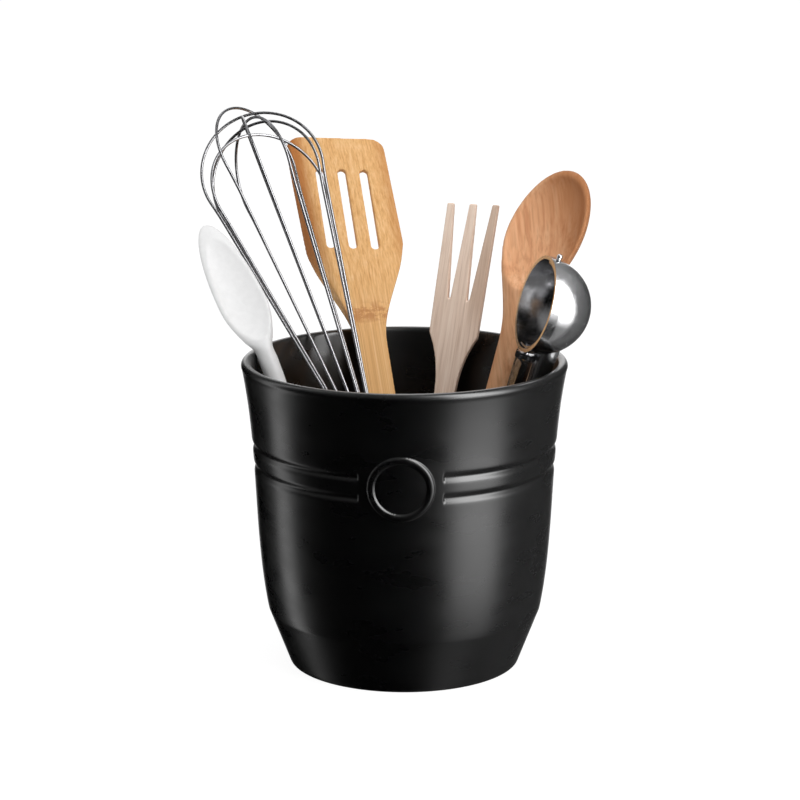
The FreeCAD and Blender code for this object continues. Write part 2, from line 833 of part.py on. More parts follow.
def carved(spoon):
    rings = [ring(*spoon_sizes(spoon, z), spoon_middle(spoon, z), z) for z in spoon_heights(spoon)]
    blank = Part.makeLoft(rings, True)
    face = Vector(0, spoon_middle(spoon, spoon.centre) - spoon.face, spoon.centre)
    hollow = egg(
        spoon.width / 2 - spoon.edge,
        spoon.hollow_depth,
        spoon.top - spoon.edge,
        spoon.hollow_tail,
        face,
    )
    hollow.rotate(face, Vector(1, 0, 0), -spoon.set_back)
    return mended(blank.cut(hollow))


# Ice-cream scoop. Upright, its bowl opens to -X and its squeeze lever lies on that side.

BOWL_OUTER = BOWL_RADIUS + BOWL_WALL
COLLAR_RADIUS = BOWL_OUTER + COLLAR_PROUD
BOWL_CENTRE = Vector(-BOWL_OFFSET, 0, SCOOP_REACH)
PINION_TOP = SCOOP_REACH - COLLAR_RADIUS - 2 * SWEEPER_GAP
PINION_MIDDLE = PINION_TOP - PINION_WIDTH / 2
SECTOR_RADIUS = PINION_PITCH_RADIUS * GEAR_RATIO
PIVOT = Vector(-BOWL_OFFSET, 0, PINION_MIDDLE - SECTOR_RADIUS)
TOOTH_PITCH = 2 * math.pi * PINION_PITCH_RADIUS / PINION_TEETH
PLATE_FACE = PINION_PITCH_RADIUS + TOOTH_ROOT_DEPTH
HANDLE_TOP = PINION_MIDDLE - NECK_LENGTH / 2

# Room for the lever between its pivot and the handle, and the knee and flare that fill it when squeezed
LEVER_ROOM = BOWL_OFFSET - SCOOP_HANDLE_RADIUS - TOOL_GAP
SQUEEZE = math.radians(SECTOR_SWEEP)
LEVER_KNEE = (LEVER_ROOM - LEVER_THICKNESS / 2 * math.cos(SQUEEZE)) / math.sin(SQUEEZE)
LEVER_FLARE = LEVER_THICKNESS / 2 + LEVER_DROP * math.tan(SQUEEZE) - LEVER_ROOM / math.cos(SQUEEZE)


def scoop_bowl():
    """A half ball with a raised collar round its mouth."""

    def mouth(out, r):
        return BOWL_CENTRE + Vector(-out, 0, r)

    at_collar = math.sqrt(BOWL_OUTER**2 - COLLAR_BACK**2)
    inside = BOWL_RADIUS * math.sqrt(0.5)
    outside = BOWL_OUTER * math.sqrt(0.5)
    bowl = turned(
        [
            arc(mouth(-BOWL_RADIUS, 0), mouth(-inside, inside), mouth(0, BOWL_RADIUS)),
            line(mouth(0, BOWL_RADIUS), mouth(COLLAR_LENGTH, BOWL_RADIUS)),
            line(mouth(COLLAR_LENGTH, BOWL_RADIUS), mouth(COLLAR_LENGTH, COLLAR_RADIUS)),
            line(mouth(COLLAR_LENGTH, COLLAR_RADIUS), mouth(-COLLAR_BACK, COLLAR_RADIUS)),
            line(mouth(-COLLAR_BACK, COLLAR_RADIUS), mouth(-COLLAR_BACK, at_collar)),
            arc(mouth(-COLLAR_BACK, at_collar), mouth(-outside, outside), mouth(-BOWL_OUTER, 0)),
            line(mouth(-BOWL_OUTER, 0), mouth(-BOWL_RADIUS, 0)),
        ],
        BOWL_CENTRE,
        Vector(1, 0, 0),
    )
    reach = Vector(0, 0, 2 * COLLAR_RADIUS)
    bowl = bowl.cut(cylinder(TOP_PIN_RADIUS + WIRE_FIT, BOWL_CENTRE, BOWL_CENTRE + reach))
    return one_solid(bowl.cut(cylinder(AXLE_RADIUS + RUNNING_GAP, BOWL_CENTRE, BOWL_CENTRE - reach)))


def sweeper_blade():
    """A thin strip that hugs half a turn of the bowl's inside, from pin to axle."""
    outer = BOWL_RADIUS - SWEEPER_GAP
    shell = Part.makeSphere(outer, BOWL_CENTRE).cut(Part.makeSphere(outer - SWEEPER_THICKNESS, BOWL_CENTRE))
    half = SWEEPER_WIDTH / 2
    strip = box_between(
        BOWL_CENTRE + Vector(-half, -2 * outer, -2 * outer), BOWL_CENTRE + Vector(half, half, 2 * outer)
    )
    reach = Vector(0, 0, 2 * outer)
    blade = shell.common(strip)
    blade = blade.cut(cylinder(TOP_PIN_RADIUS + RUNNING_GAP, BOWL_CENTRE, BOWL_CENTRE + reach))
    return one_solid(blade.cut(cylinder(AXLE_RADIUS + WIRE_FIT / 3, BOWL_CENTRE, BOWL_CENTRE - reach)))


def sweeper_top_pin():
    """The pin at the top of the bowl that the blade turns on."""
    low = BOWL_CENTRE + Vector(0, 0, BOWL_RADIUS - SWEEPER_GAP - 2 * SWEEPER_THICKNESS)
    high = BOWL_CENTRE + Vector(0, 0, COLLAR_RADIUS + TOP_PIN_HEAD)
    ball = Part.makeSphere(TOP_PIN_HEAD, high)
    seat = box_between(
        high + Vector(-4 * TOP_PIN_HEAD, -4 * TOP_PIN_HEAD, -4 * TOP_PIN_HEAD),
        high + Vector(4 * TOP_PIN_HEAD, 4 * TOP_PIN_HEAD, WELD_GAP - TOP_PIN_HEAD * 0.8),
    )
    return one_solid(cylinder(TOP_PIN_RADIUS, low, high).fuse(ball.cut(seat)))


def tooth(base_half, tip_half, height, width):
    """One tooth pointing to +Y from the origin, as wide as given along Z."""
    return polygon(
        [
            Vector(-base_half, 0, -width / 2),
            Vector(base_half, 0, -width / 2),
            Vector(tip_half, height, -width / 2),
            Vector(-tip_half, height, -width / 2),
        ]
    ).extrude(Vector(0, 0, width))


def tooth_halves():
    """Half thickness of a tooth at its root and at its tip."""
    flank = math.tan(math.radians(TOOTH_FLANK))
    middle = TOOTH_SHARE * TOOTH_PITCH / 2
    return middle + TOOTH_ROOT_DEPTH * flank, middle - TOOTH_TIP_HEIGHT * flank


def sweeper_pinion():
    """The small gear under the bowl, on the axle that turns the blade."""
    root = PINION_PITCH_RADIUS - TOOTH_ROOT_DEPTH
    base_half, tip_half = tooth_halves()
    centre = Vector(PIVOT.x, 0, PINION_MIDDLE)
    half = Vector(0, 0, PINION_WIDTH / 2)
    gear = cylinder(root, centre - half, centre + half)
    sunk = root - math.sqrt(root**2 - base_half**2) + WELD_GAP
    for i in range(PINION_TEETH):
        one = tooth(base_half, tip_half, TOOTH_ROOT_DEPTH + TOOTH_TIP_HEIGHT + sunk, PINION_WIDTH)
        one.translate(Vector(0, root - sunk, 0))
        one.rotate(Vector(), UP, (i + 0.5) * 360 / PINION_TEETH)
        one.translate(centre)
        gear = gear.fuse(one)
    blade_inside = BOWL_CENTRE - Vector(0, 0, BOWL_RADIUS - SWEEPER_GAP - 2 * SWEEPER_THICKNESS)
    return one_solid(gear.fuse(cylinder(AXLE_RADIUS, centre, blade_inside)))


def lever_bar():
    """The lever's bar: straight past its pivot, then flaring away from the handle."""
    half = LEVER_THICKNESS / 2
    top = PINION_MIDDLE - PINION_WIDTH / 2 - LEVER_THICKNESS / 2
    knee = PIVOT.z - LEVER_KNEE
    end = PIVOT.z - LEVER_DROP
    flare = -LEVER_FLARE
    width = LEVER_WIDTH
    side = polygon(
        [
            Vector(PIVOT.x + half, -width / 2, top),
            Vector(PIVOT.x + half, -width / 2, knee),
            Vector(PIVOT.x + half + flare, -width / 2, end),
            Vector(PIVOT.x - half + flare, -width / 2, end),
            Vector(PIVOT.x - half, -width / 2, knee),
            Vector(PIVOT.x - half, -width / 2, top),
        ]
    )
    return side.extrude(Vector(0, width, 0))


def sector_plate(inner, outer, start, end, low_y, high_y):
    """A flat piece of a ring about the pivot, from one angle to another, measured from up towards +X."""

    def at(r, angle):
        t = math.radians(angle)
        return Vector(PIVOT.x + r * math.sin(t), low_y, PIVOT.z + r * math.cos(t))

    middle = (start + end) / 2
    edges = [
        arc(at(outer, start), at(outer, middle), at(outer, end)),
        line(at(outer, end), at(inner, end)),
        arc(at(inner, end), at(inner, middle), at(inner, start)),
        line(at(inner, start), at(outer, start)),
    ]
    return Part.Face(Part.Wire(edges)).extrude(Vector(0, high_y - low_y, 0))


def scoop_lever():
    """The squeeze lever with its toothed sector behind the pinion."""
    rim = SECTOR_RADIUS + PINION_WIDTH / 2
    teeth_from = SECTOR_RADIUS - PINION_WIDTH / 2
    back = PLATE_FACE + SECTOR_PLATE
    low = teeth_from - SECTOR_RIM
    start, end = -SECTOR_SPARE, SECTOR_SWEEP + SECTOR_SPARE
    arm_low, arm_high, arm_end = SECTOR_RADIUS / 2, (low + teeth_from) / 2, 2 * SECTOR_SPARE
    plate = sector_plate(low, rim, start, end, PLATE_FACE, back)
    web = sector_plate(arm_low, teeth_from, start, arm_end, LEVER_WIDTH / 3, back)
    arm = sector_plate(arm_low, arm_high, start, arm_end, PLATE_FACE, back)
    web = web.common(lever_shadow())
    lever = lever_bar().fuse(web).fuse(arm).fuse(plate)
    base_half, tip_half = tooth_halves()
    step = 360.0 / (PINION_TEETH * GEAR_RATIO)
    first = -math.floor(SECTOR_SPARE / step)
    last = math.floor((SECTOR_SWEEP + SECTOR_SPARE) / step)
    for i in range(first, last + 1):
        one = tooth(base_half, tip_half, TOOTH_ROOT_DEPTH + TOOTH_TIP_HEIGHT + WELD_GAP, PINION_WIDTH)
        one.rotate(Vector(), UP, 180)
        one.translate(Vector(PIVOT.x, PLATE_FACE + WELD_GAP, PINION_MIDDLE))
        one.rotate(PIVOT, Vector(0, 1, 0), i * step)
        lever = lever.fuse(one)
    reach = Vector(0, LEVER_WIDTH, 0)
    return one_solid(lever.cut(cylinder(PIVOT_RADIUS + RUNNING_GAP, PIVOT - reach, PIVOT + reach)))


def lever_shadow():
    """The space right behind the lever's bar, below the pinion."""
    half = LEVER_THICKNESS / 2
    top = PINION_MIDDLE - PINION_WIDTH / 2 - LEVER_THICKNESS / 2
    return box_between(
        Vector(PIVOT.x - half, 0, PIVOT.z), Vector(PIVOT.x + half, PLATE_FACE + SECTOR_PLATE, top)
    )


def scoop_handle():
    return one_solid(rod(SCOOP_HANDLE_RADIUS, HANDLE_TOP))


def scoop_neck():
    """The socket that joins the handle to the ball, cut away for the sector."""
    base = Vector(0, 0, HANDLE_TOP)
    cone = Part.makeCone(SCOOP_HANDLE_RADIUS, NECK_TOP_RADIUS, NECK_LENGTH + BOWL_OUTER, base)
    ball = Part.makeSphere(BOWL_OUTER + WELD_GAP, BOWL_CENTRE)
    collar = cylinder(
        COLLAR_RADIUS + WELD_GAP,
        BOWL_CENTRE - Vector(2 * COLLAR_LENGTH, 0, 0),
        BOWL_CENTRE + Vector(COLLAR_BACK + WELD_GAP, 0, 0),
    )
    slot_face = PINION_PITCH_RADIUS - TOOTH_TIP_HEIGHT - TOOL_GAP
    slot_low = Vector(-BOWL_OFFSET, slot_face, PINION_MIDDLE - PINION_WIDTH * 2.5)
    slot_high = Vector(BOWL_OFFSET, BOWL_OUTER, PINION_MIDDLE + PINION_WIDTH)
    pinion = Vector(PIVOT.x, 0, PINION_MIDDLE)
    deep = Vector(0, 0, PINION_WIDTH / 2 + TOOL_GAP)
    room = cylinder(PINION_PITCH_RADIUS + TOOTH_TIP_HEIGHT + TOOL_GAP, pinion - deep, pinion + deep * 2)
    neck = cone.cut(ball).cut(collar).cut(box_between(slot_low, slot_high)).cut(room)
    lowest = min(neck.Solids, key=lambda s: s.CenterOfMass.z)
    return one_solid(Part.Compound([lowest]))


def lever_bracket():
    """Two cheeks and a web, welded to the handle, that carry the lever's pin."""
    inside = LEVER_WIDTH / 2 + TOOL_GAP
    outside = inside + CHEEK_THICKNESS
    half = CHEEK_HEIGHT / 2
    front = PIVOT.x - half
    low, high = PIVOT.z - half, PIVOT.z + half
    block = box_between(Vector(front, -outside, low), Vector(0, outside, high))
    web = -SCOOP_HANDLE_RADIUS - CHEEK_THICKNESS
    room = box_between(Vector(front - 1, -inside, low - half), Vector(web, inside, high + half))
    handle = cylinder(SCOOP_HANDLE_RADIUS + WELD_GAP, Vector(), Vector(0, 0, HANDLE_TOP))
    reach = Vector(0, 2 * outside, 0)
    pin = cylinder(PIVOT_RADIUS + WIRE_FIT, PIVOT - reach, PIVOT + reach)
    left_over = block.cut(room).cut(handle).cut(pin)
    return one_solid(Part.Compound([max(left_over.Solids, key=lambda s: s.Volume)]))


def lever_pivot_pin():
    half = LEVER_WIDTH / 2 + TOOL_GAP + CHEEK_THICKNESS + WELD_GAP
    shank = cylinder(PIVOT_RADIUS, PIVOT - Vector(0, half, 0), PIVOT + Vector(0, half, 0))
    for side in (-1, 1):
        inner = PIVOT + Vector(0, side * half, 0)
        shank = shank.fuse(cylinder(PIVOT_HEAD, inner, inner + Vector(0, side * CHEEK_THICKNESS / 2, 0)))
    return one_solid(shank)


def lever_spring():
    """A hairpin leaf: one leg on the handle, a turn, and one leg that presses on the lever."""
    half = SPRING_WIDTH / 2
    back = -SCOOP_HANDLE_RADIUS - WELD_GAP
    turn_z = PIVOT.z - SPRING_ROOT
    foot_z = turn_z - SPRING_DROP
    outer = SPRING_TURN_RADIUS + SPRING_THICKNESS
    centre = Vector(back - outer, -half, turn_z)
    width = Vector(0, SPRING_WIDTH, 0)
    root = box_between(Vector(back - SPRING_THICKNESS, -half, foot_z), Vector(back, half, turn_z))
    bow = Part.makeCylinder(outer, SPRING_WIDTH, centre, width)
    bow = bow.cut(Part.makeCylinder(SPRING_TURN_RADIUS, SPRING_WIDTH, centre, width))
    bow = bow.common(box_between(centre - Vector(outer, 0, 0), centre + Vector(outer, SPRING_WIDTH, outer)))
    fall = LEVER_DROP - LEVER_KNEE
    lever_face = PIVOT.x + LEVER_THICKNESS / 2 - LEVER_FLARE * (PIVOT.z - LEVER_KNEE - foot_z) / fall
    start = back - 2 * outer
    touch = lever_face + TOOL_GAP
    leg = polygon(
        [
            Vector(start, -half, turn_z),
            Vector(start + SPRING_THICKNESS, -half, turn_z),
            Vector(touch + SPRING_THICKNESS, -half, foot_z),
            Vector(touch, -half, foot_z),
        ]
    ).extrude(width)
    return one_solid(root.fuse(bow).fuse(leg))


def scoop():
    return {
        "scoop_handle": scoop_handle(),
        "scoop_neck": scoop_neck(),
        "scoop_bowl": scoop_bowl(),
        "lever_bracket": lever_bracket(),
        "lever_pivot_pin": lever_pivot_pin(),
        "scoop_lever": scoop_lever(),
        "lever_spring": lever_spring(),
        "sweeper_blade": sweeper_blade(),
        "sweeper_pinion": sweeper_pinion(),
        "sweeper_top_pin": sweeper_top_pin(),
    }


# The whole set


def report_axis(name, place, spot=Vector()):
    """Prints where a tool's own axes lie, for the joints."""
    origin = place.multVec(spot)
    axes = [place.Rotation.multVec(v) for v in (Vector(1, 0, 0), Vector(0, 1, 0), UP)]
    words = " ".join("(%.5f %.5f %.5f)" % tuple(v) for v in [origin] + axes)
    print(name, "origin and x, y, z axes:", words)


def main():
    os.makedirs("parts", exist_ok=True)
    spoon_place = (SPOON_W_RIM_ANGLE, SPOON_W_FOOT, SPOON_W_TURN, spoon_half(WHITE_SPOON))
    whisk_place = (WHISK_RIM_ANGLE, WHISK_FOOT, WHISK_TURN, even(WHISK_BUNDLE_AT_RIM))
    turner_place = (TURNER_RIM_ANGLE, TURNER_FOOT, TURNER_TURN, even(TURNER_BACK_AT_RIM))
    fork_place = (FORK_RIM_ANGLE, FORK_FOOT, FORK_TURN, even(FORK_WAIST_WIDTH / 2))
    wooden_place = (SPOON_RIM_ANGLE, SPOON_FOOT, SPOON_TURN, spoon_half(WOODEN_SPOON))
    scoop_place = (SCOOP_RIM_ANGLE, SCOOP_FOOT, SCOOP_TURN, even(NECK_TOP_RADIUS))
    tools = (
        ("white_spoon", {"white_spoon": carved(WHITE_SPOON)}, "white_spoon", spoon_place),
        ("whisk", whisk(), "whisk_end_cap", whisk_place),
        ("turner", {"turner": turner()}, "turner", turner_place),
        ("fork", {"fork": fork()}, "fork", fork_place),
        ("wooden_spoon", {"wooden_spoon": carved(WOODEN_SPOON)}, "wooden_spoon", wooden_place),
        ("scoop", scoop(), "scoop_handle", scoop_place),
    )
    nodes = {"crock_body": crock_body()}
    for name, solids, carrier, spot in tools:
        standing, place = stand(solids, carrier, *spot)
        nodes.update(standing)
        report_axis(name, place)
        if name == "scoop":
            report_axis("scoop_lever", place, PIVOT)
            report_axis("scoop_sweeper", place, BOWL_CENTRE)
    for name, solid in nodes.items():
        solid.exportStep(f"parts/{name}.step")
        print(name, solid.isValid(), len(solid.Solids), round(solid.Volume, 1))


main()
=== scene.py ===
import math

import bmesh
import bpy
import numpy as np
from mathutils import Matrix, Vector


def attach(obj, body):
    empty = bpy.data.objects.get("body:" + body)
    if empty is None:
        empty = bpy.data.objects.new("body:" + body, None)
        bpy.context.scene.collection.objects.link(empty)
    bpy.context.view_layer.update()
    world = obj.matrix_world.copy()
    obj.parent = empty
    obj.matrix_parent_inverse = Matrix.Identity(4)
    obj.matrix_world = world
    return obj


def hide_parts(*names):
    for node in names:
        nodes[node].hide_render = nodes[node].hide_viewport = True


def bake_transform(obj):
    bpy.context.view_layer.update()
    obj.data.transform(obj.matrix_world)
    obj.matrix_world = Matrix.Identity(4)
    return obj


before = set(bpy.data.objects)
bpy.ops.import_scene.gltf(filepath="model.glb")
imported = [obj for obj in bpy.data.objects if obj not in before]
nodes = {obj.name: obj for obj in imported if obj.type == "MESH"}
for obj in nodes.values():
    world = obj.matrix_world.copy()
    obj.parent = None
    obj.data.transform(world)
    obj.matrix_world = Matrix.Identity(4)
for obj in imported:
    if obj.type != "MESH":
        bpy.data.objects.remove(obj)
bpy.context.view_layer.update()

MM = 0.001

# Camera, fitted to the photograph's rim and foot ellipses
CAMERA_PLACE = (-0.0021, -1.331, 0.4395)
CAMERA_PITCH = 13.148
CAMERA_LENS = 128.36

# Studio
FLOOR_COLOUR = (0.86, 0.86, 0.86)
FLOOR_SIZE = 30.0
FLOOR_GLOW = 0.92
WORLD_LIGHT = 0.45
FLOOR_SEEN = (0.2, 0.2, 0.2)
DOME_RADIUS = 3.0
DOME_HEIGHT = 0.15

# Lamps: place, aim, size and power
LAMPS = {
    "key": ((1.1, -1.3, 1.5), (0, 0, 0.15), (1.0, 1.0), 19.0),
    "fill": ((-1.4, -1.2, 1.2), (0, 0, 0.15), (1.2, 1.2), 4.0),
    "top": ((0.0, 0.2, 2.0), (0, 0, 0.1), (1.4, 1.4), 9.0),
}

# The dome's ceiling, and its softboxes in degrees: middle, half width, soft edge, lowest,
# fade below it, highest, and the strength of each
CEILING = 0.22
CEILING_FULL = 50.0
BOX_TOP_FADE = 20.0
SOFT_BOXES = (
    (57.0, 11.0, 18.0, -14.0, 26.0, 60.0, 3.0),
    (52.0, 12.0, 14.0, 2.0, 14.0, 60.0, 5.0),
    (180.0, 12.0, 8.0, -10.0, 20.0, 70.0, 1.6),
    (-180.0, 12.0, 8.0, -10.0, 20.0, 70.0, 1.6),
    (57.0, 11.0, 18.0, -80.0, 10.0, -30.0, 0.3),
    (108.0, 16.0, 20.0, -70.0, 10.0, 50.0, 0.13),
    (158.0, 12.0, 16.0, -70.0, 10.0, 50.0, 0.08),
    (-106.0, 4.0, 9.0, -28.0, 22.0, 60.0, 1.5),
    (-106.0, 4.0, 9.0, -80.0, 10.0, -35.0, 0.2),
)

# The wooden tools' own axes: butt, then side, back and length directions
TOOL_AXES = {
    "turner": (
        (0.00828, -0.02032, 0.01082),
        (0.98109, 0.17934, 0.07280),
        (-0.11532, 0.84372, -0.52425),
        (-0.15544, 0.50595, 0.84844),
    ),
    "fork": (
        (0.00336, 0.03036, 0.00965),
        (0.96658, -0.23664, -0.09858),
        (0.20825, 0.94909, -0.23633),
        (0.14948, 0.20791, 0.96666),
    ),
    "wooden_spoon": (
        (0.01471, 0.01515, 0.00878),
        (0.79057, -0.60513, -0.09390),
        (0.55732, 0.77453, -0.29917),
        (0.25376, 0.18418, 0.94957),
    ),
}

# Tools with sanded edges: the size of their even mesh in millimetres, and rounds of smoothing
SANDED = {
    "turner": (0.5, 6),
    "fork": (0.4, 14),
    "wooden_spoon": (0.6, 24),
    "white_spoon": (0.5, 16),
}
SHARP_ANGLE = 35.0

# Crock, in millimetres; pairs are radius and height
FOOT_RADIUS = 55.4
FOOT_ROUND = 1.6
FOOT_SETBACK = 1.1
BELT = (66.0, 27.6)
NECK = (74.0, 120.0)
LIP_CENTRE = (75.55, 146.55)
LIP_RADIUS = 2.45
LIP_FLARE = 20.0
INNER_BELT = (60.6, 27.6)
FLOOR_EDGE = (54.0, 8.0)
FLOOR_ROUND = 7.0
FLOOR_SETBACK = 5.03
MIDDLE_RADII = (0.4, 30.0)
GROOVES = (98.4, 108.4)
GROOVE_DEPTH = 1.1
GROOVE_WIDTH = 1.65
GROOVE_STOP = 19.4
GROOVE_FADE = 1.4
GROOVE_CLEAR = 1.25
MEDALLION_HEIGHT = 103.4
MEDALLION_ANGLE = -91.4
BEAD_RADIUS = 13.825
BEAD_HALF = 1.75
BEAD_PROUD = 1.1
RELIEF_BAND = (80, 130)
FINE_BAND = (84, 123)
ROW_STEPS = (2.0, 0.33, 1.0)
FINE_ANGLE = 17.0
FINE_ANGLE_STEP = 0.16
COARSE_COLUMNS = 270
PLAIN_ANGLE = 25
OUTER_DEPTH = (-1.9, 0.2)
INNER_DEPTH = (2.6, 7.5)


def material(name, colour, roughness, metallic=0.0):
    """A plain material and its shader node, for the detail functions below to work on."""
    mat = bpy.data.materials.new(name)
    mat.use_nodes = True
    shader = mat.node_tree.nodes["Principled BSDF"]
    shader.inputs["Base Color"].default_value = (*colour, 1.0)
    shader.inputs["Roughness"].default_value = roughness
    shader.inputs["Metallic"].default_value = metallic
    return mat, shader


def add(mat, kind, **inputs):
    """A shader node with some of its inputs set."""
    node = mat.node_tree.nodes.new(kind)
    for name, value in inputs.items():
        node.inputs[name.replace("_", " ")].default_value = value
    return node


def link(mat, out, into):
    mat.node_tree.links.new(out, into)


def ramp(mat, source, stops):
    """A colour ramp fed by a value, its stops given as (place, colour)."""
    node = add(mat, "ShaderNodeValToRGB")
    elements = node.color_ramp.elements
    while len(elements) < len(stops):
        elements.new(0.5)
    for element, (place, colour) in zip(elements, stops):
        element.position = place
        element.color = (*colour, 1.0)
    link(mat, source, node.inputs["Fac"])
    return node


def along(mat, origin, x_axis, y_axis, z_axis):
    """Coordinates measured along a tool's own axes, in metres from its butt."""
    turn = add(mat, "ShaderNodeMapping")
    rotation = Matrix((x_axis, y_axis, z_axis))
    turn.inputs["Rotation"].default_value = rotation.to_euler()
    turn.inputs["Location"].default_value = -(rotation @ Vector(origin))
    link(mat, object_place(mat), turn.inputs["Vector"])
    return turn.outputs["Vector"]


def bump(mat, shader, height, strength, distance):
    node = add(mat, "ShaderNodeBump", Strength=strength, Distance=distance)
    link(mat, height, node.inputs["Height"])
    link(mat, node.outputs["Normal"], shader.inputs["Normal"])


def socket_or_value(mat, source, into):
    if isinstance(source, (int, float)):
        into.default_value = source
    else:
        link(mat, source, into)


def calc(mat, operation, *sources):
    """One step of arithmetic on values or on other steps' results."""
    node = add(mat, "ShaderNodeMath")
    node.operation = operation
    for source, into in zip(sources, node.inputs):
        socket_or_value(mat, source, into)
    return node.outputs["Value"]


def soft_step(mat, source, start, end):
    """Rises smoothly from 0 at the start to 1 at the end."""
    node = add(mat, "ShaderNodeMapRange", From_Min=start, From_Max=end)
    node.interpolation_type = "SMOOTHSTEP"
    link(mat, source, node.inputs["Value"])
    return node.outputs["Result"]


def mixed(mat, blend, share, first, second):
    """Two colours mixed; each is a colour or another step's result."""
    node = add(mat, "ShaderNodeMix")
    node.data_type = "RGBA"
    node.blend_type = blend
    socket_or_value(mat, share, node.inputs["Factor"])
    for source, into in ((first, node.inputs[6]), (second, node.inputs[7])):
        if isinstance(source, tuple):
            into.default_value = (*source, 1.0)
        else:
            link(mat, source, into)
    return node.outputs[2]


def noise(mat, place, scale, detail, rough=0.5, distortion=0.0):
    """Noise stretched by a different scale along each axis."""
    stretch = add(mat, "ShaderNodeMapping")
    stretch.inputs["Scale"].default_value = scale
    link(mat, place, stretch.inputs["Vector"])
    settings = {"Scale": 1.0, "Detail": detail, "Roughness": rough, "Distortion": distortion}
    node = add(mat, "ShaderNodeTexNoise", **settings)
    link(mat, stretch.outputs["Vector"], node.inputs["Vector"])
    return node.outputs["Fac"]


def split(mat, place):
    node = add(mat, "ShaderNodeSeparateXYZ")
    link(mat, place, node.inputs["Vector"])
    return node.outputs


def object_place(mat):
    return add(mat, "ShaderNodeTexCoord").outputs["Object"]


def times(mat, first, second):
    return calc(mat, "MULTIPLY", first, second)


def grey(level):
    return (level, level, level)


def shown(name, data):
    """A new object in the scene."""
    thing = bpy.data.objects.new(name, data)
    bpy.context.scene.collection.objects.link(thing)
    return thing


def smooth(mesh):
    mesh.polygons.foreach_set("use_smooth", np.ones(len(mesh.polygons), dtype=bool))


def black_glaze():
    """Black glaze with a faint orange peel and the level marks of throwing."""
    mat, shader = material("black_glaze", (0.0012, 0.0012, 0.0013), 0.3)
    shader.inputs["Specular IOR Level"].default_value = 0.8
    place = object_place(mat)
    peel = noise(mat, place, (380, 380, 380), 1.0)
    rings = noise(mat, place, (6, 6, 420), 1.0)
    height = calc(mat, "ADD", times(mat, rings, 1.3), times(mat, peel, 0.5))
    bump(mat, shader, height, 0.03, 0.0002)
    broad = noise(mat, place, (40, 40, 90), 3.0)
    gloss = ramp(mat, broad, [(0.3, grey(0.25)), (0.7, grey(0.33))])
    link(mat, gloss.outputs["Color"], shader.inputs["Roughness"])
    return mat


def white_plastic():
    mat, shader = material("white_plastic", (0.86, 0.86, 0.86), 0.4)
    shader.inputs["Specular IOR Level"].default_value = 0.3
    place = object_place(mat)
    fine = noise(mat, place, (350, 350, 350), 2.0)
    bump(mat, shader, fine, 0.04, 0.0002)
    shade = ramp(mat, fine, [(0.3, grey(0.84)), (0.7, grey(0.88))])
    link(mat, shade.outputs["Color"], shader.inputs["Base Color"])
    return mat


def steel(name, colour, roughness):
    """Polished metal, its gloss slightly uneven."""
    mat, shader = material(name, colour, roughness, metallic=1.0)
    fine = noise(mat, object_place(mat), (500, 500, 500), 2.0)
    low, high = roughness * 0.8, roughness * 1.3
    gloss = ramp(mat, fine, [(0.3, grey(low)), (0.7, grey(high))])
    link(mat, gloss.outputs["Color"], shader.inputs["Roughness"])
    return mat


def wood(name, tool, tones, width, length, turn=0.0, flecks=0.5):
    """Long grain up a tool: streaks of a given width and length in millimetres, and finer flecks."""
    mat, shader = material(name, tones[0], 0.5)
    shader.inputs["Specular IOR Level"].default_value = 0.25
    place = along(mat, *TOOL_AXES[tool])
    grain = place
    if turn:
        tilt = add(mat, "ShaderNodeMapping")
        tilt.inputs["Rotation"].default_value = (0.0, math.radians(turn), 0.0)
        link(mat, place, tilt.inputs["Vector"])
        grain = tilt.outputs["Vector"]
    across, up = 1000.0 / width, 1000.0 / length
    streaks = noise(mat, grain, (across, across * 0.6, up), 5.0, 0.6, 0.25)
    last = len(tones) - 1
    colour = ramp(mat, streaks, [(0.28 + 0.44 * i / last, tone) for i, tone in enumerate(tones)])
    specks = noise(mat, grain, (across * 2, across * 2, up * 2.5), 3.0)
    dark = ramp(mat, specks, [(0.34, (0.70, 0.62, 0.55)), (0.52, grey(1.0))])
    result = mixed(mat, "MULTIPLY", flecks, colour.outputs["Color"], dark.outputs["Color"])
    bump(mat, shader, specks, 0.08, 0.0002)
    return mat, shader, place, result


def bamboo():
    """Honey bamboo: long fine streaks, painted shade darkening both flanks of the blade (brown on
    the left, fainter on the right) and a joint of the cane in its neck.
    """
    tones = [(0.63, 0.30, 0.10), (0.83, 0.48, 0.20), (0.93, 0.61, 0.32)]
    mat, shader, place, colour = wood("bamboo", "turner", tones, 0.8, 170.0, flecks=0.25)
    across, _, up = split(mat, place)
    blade = soft_step(mat, up, 0.175, 0.215)
    # Painted shade: the blade's left flank darkened to brown, as a side turned away from the light.
    left = times(mat, soft_step(mat, across, -0.0125, -0.0215), blade)
    colour = mixed(mat, "MIX", times(mat, left, 0.9), colour, (0.40, 0.13, 0.025))
    # Painted shade: a fainter darkening along the blade's right flank.
    right = times(mat, soft_step(mat, across, 0.0165, 0.0255), blade)
    colour = mixed(mat, "MIX", times(mat, right, 0.6), colour, (0.52, 0.21, 0.06))
    off = calc(mat, "ABSOLUTE", calc(mat, "SUBTRACT", up, 0.172))
    torn = noise(mat, place, (240, 240, 420), 4.0, 0.65)
    joint = times(mat, soft_step(mat, off, 0.0085, 0.001), soft_step(mat, torn, 0.4, 0.58))
    colour = mixed(mat, "MIX", times(mat, joint, 0.65), colour, (0.48, 0.18, 0.06))
    link(mat, colour, shader.inputs["Base Color"])
    return mat


